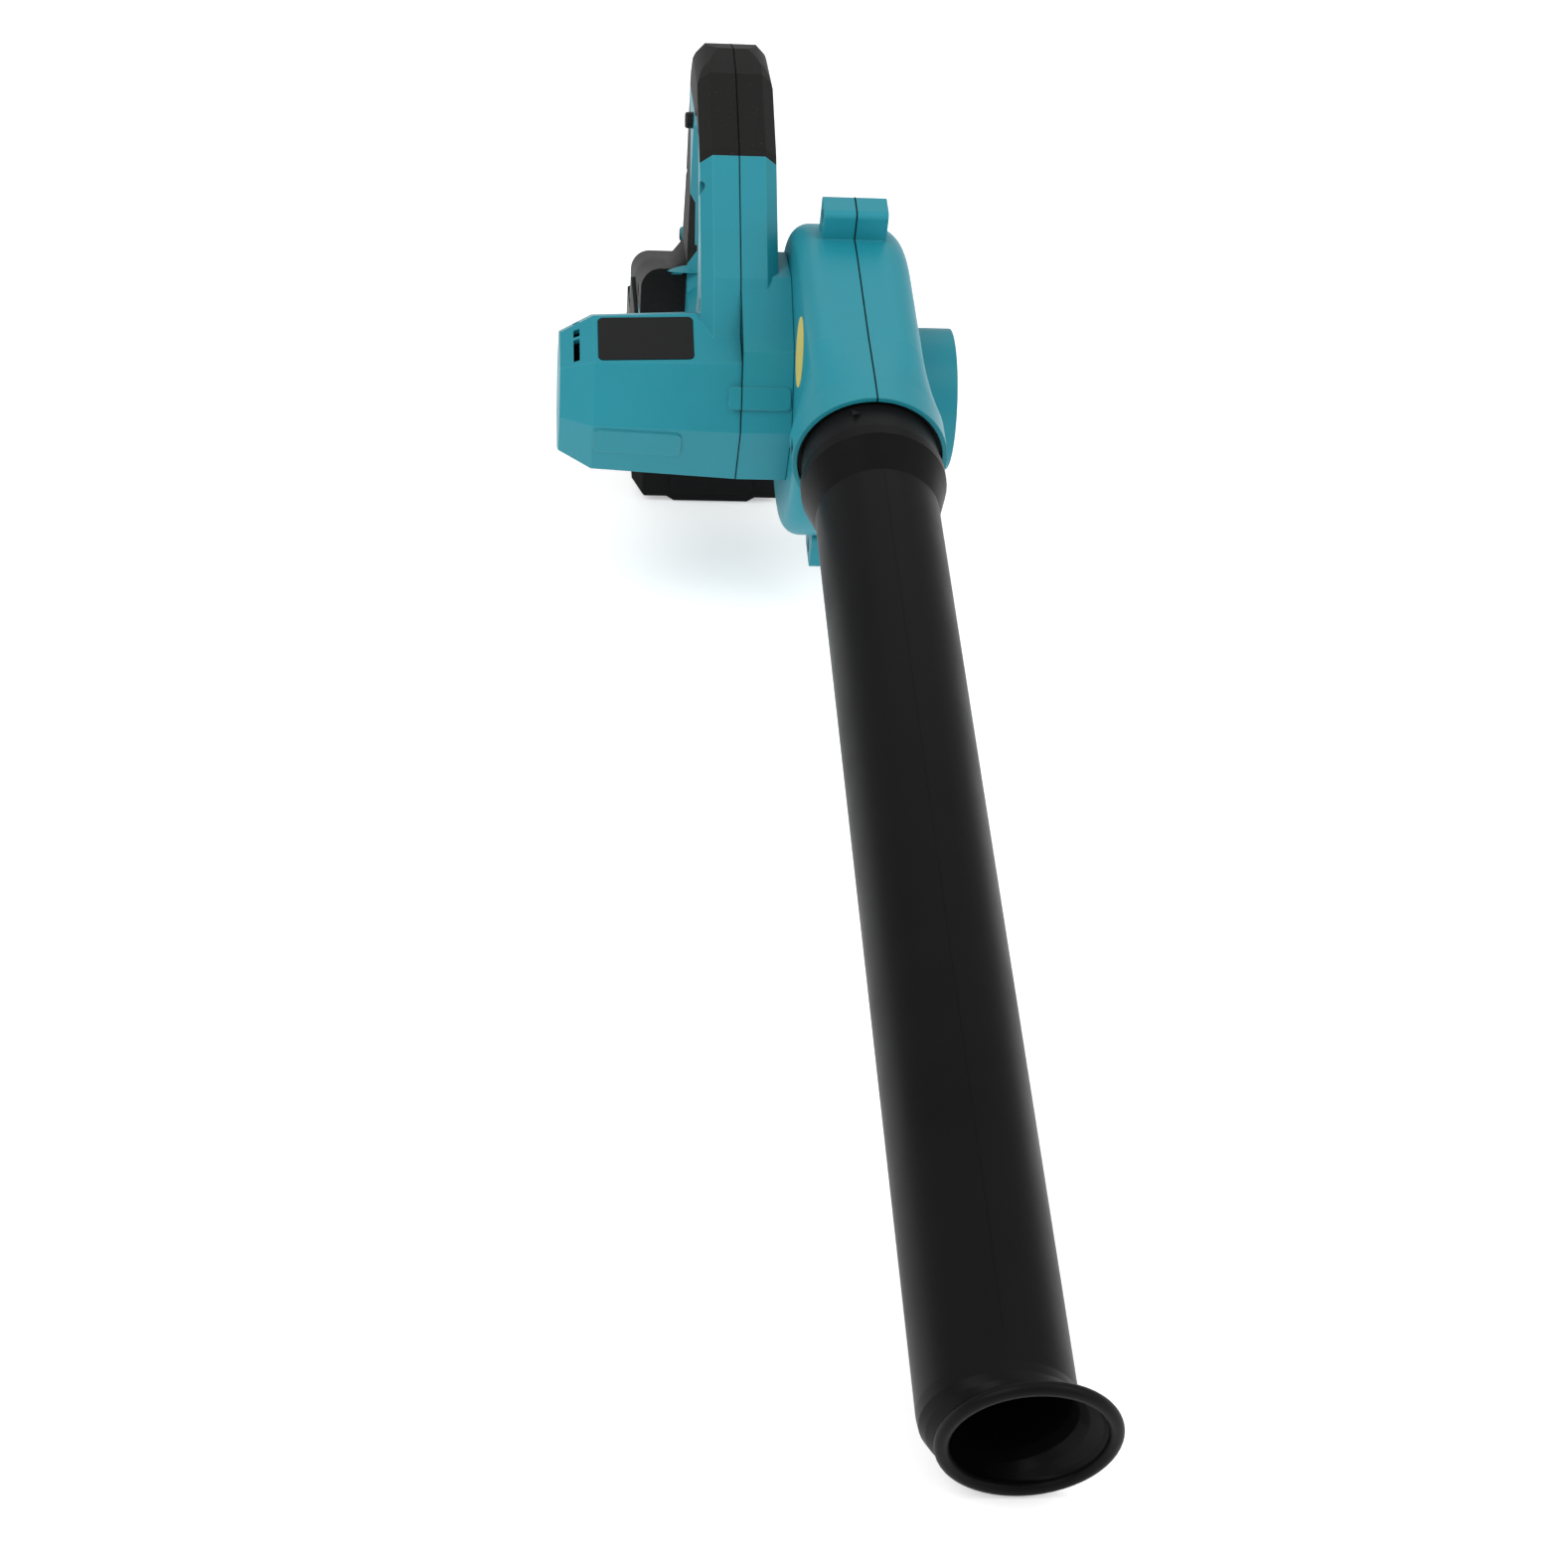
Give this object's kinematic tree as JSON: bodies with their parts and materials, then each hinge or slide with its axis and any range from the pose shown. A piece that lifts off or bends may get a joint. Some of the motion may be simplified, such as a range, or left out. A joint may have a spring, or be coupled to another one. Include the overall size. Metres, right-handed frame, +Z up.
{
  "type": "cordless leaf blower",
  "caption": "Hand-held blower with a long straight nozzle, snail-shaped fan case, side motor pod, loop handle with trigger and a slide-on battery.",
  "frame": {"origin": "centre of the battery's flat base, on the surface the blower stands on", "axes": "+Z up; -Y the way the air leaves the nozzle, which points 12 degrees below -Y; +X towards the air intake along the fan shaft"},
  "size_m": [0.169, 0.7756, 0.2178],
  "materials": {
    "teal_shell": "moulded, fine satin grain",
    "nozzle_plastic": "moulded, fine grain",
    "socket_plastic": "moulded",
    "grip_rubber": "soft overmould, matt",
    "button_plastic": "smooth moulded",
    "screw_steel": "blackened zinc",
    "label_black": "blank foil label",
    "sticker_yellow": "blank foil label",
    "pack_plastic": "moulded",
    "pack_button": "moulded",
    "fan_plastic": "glass-filled nylon",
    "inner_plastic": "moulded",
    "motor_steel": "zinc plated",
    "core_steel": "laminations",
    "ferrite": "ground ferrite",
    "copper": "copper",
    "circuit": "lacquered board",
    "wire_skin": "insulation",
    "cell_wrap": "shrink sleeve"
  },
  "bodies": {
    "blower": {"housing_left": "teal_shell", "housing_right": "teal_shell", "scroll_inner": "teal_shell", "scroll_outer": "teal_shell", "adapter_ring": "socket_plastic", "intake_grille": "socket_plastic", "grip_cap_left": "grip_rubber", "grip_cap_right": "grip_rubber", "grip_sleeve_left": "grip_rubber", "grip_sleeve_right": "grip_rubber", "bumper_left": "grip_rubber", "bumper_right": "grip_rubber", "case_screws": "screw_steel", "scroll_screws": "screw_steel", "label_plate": "label_black", "oval_sticker": "sticker_yellow", "switch_module": "inner_plastic", "brush_gear": "inner_plastic", "motor_plate": "inner_plastic", "motor_cradle": "inner_plastic", "battery_mount": "inner_plastic", "motor_can": "motor_steel", "front_bearing": "motor_steel", "rear_bearing": "motor_steel", "magnets": "ferrite", "terminals": "copper", "controller": "circuit", "wiring": "wire_skin"},
    "rotor": {"shaft": "motor_steel", "rotor_core": "core_steel", "commutator": "copper", "impeller": "fan_plastic", "impeller_nut": "screw_steel"},
    "trigger": {"trigger": "button_plastic"},
    "lock": {"lock_button": "button_plastic"},
    "nozzle_tube": {"nozzle": "nozzle_plastic"},
    "release": {"pack_release": "pack_button"},
    "battery": {"pack_lower": "pack_plastic", "pack_upper": "pack_plastic", "cells": "cell_wrap"}
  },
  "joints": [
    {"name": "fan_spin", "type": "hinge", "parent": "blower", "child": "rotor", "pos_m": [0.046, -0.15, 0.0996], "axis": [1, 0, 0], "continuous": true},
    {"name": "trigger_pull", "type": "slide", "parent": "blower", "child": "trigger", "axis": [0, 1, 0], "range_m": [0, 0.006], "stiffness_N_per_m": 500, "springref_m": -0.004},
    {"name": "lock_press", "type": "slide", "parent": "blower", "child": "lock", "axis": [1, 0, 0], "range_m": [0, 0.003]},
    {"name": "nozzle_twist", "type": "hinge", "parent": "blower", "child": "nozzle_tube", "pos_m": [0.046, -0.25738, 0.1238], "axis": [0, -0.9781, -0.2079], "range_deg": [0, 30]},
    {"name": "battery_slide", "type": "slide", "parent": "blower", "child": "battery", "axis": [0, 1, 0], "range_m": [0, 0.11]},
    {"name": "release_press", "type": "slide", "parent": "battery", "child": "release", "axis": [0, 0, -1], "range_m": [0, 0.004], "stiffness_N_per_m": 600, "springref_m": -0.004}
  ]
}
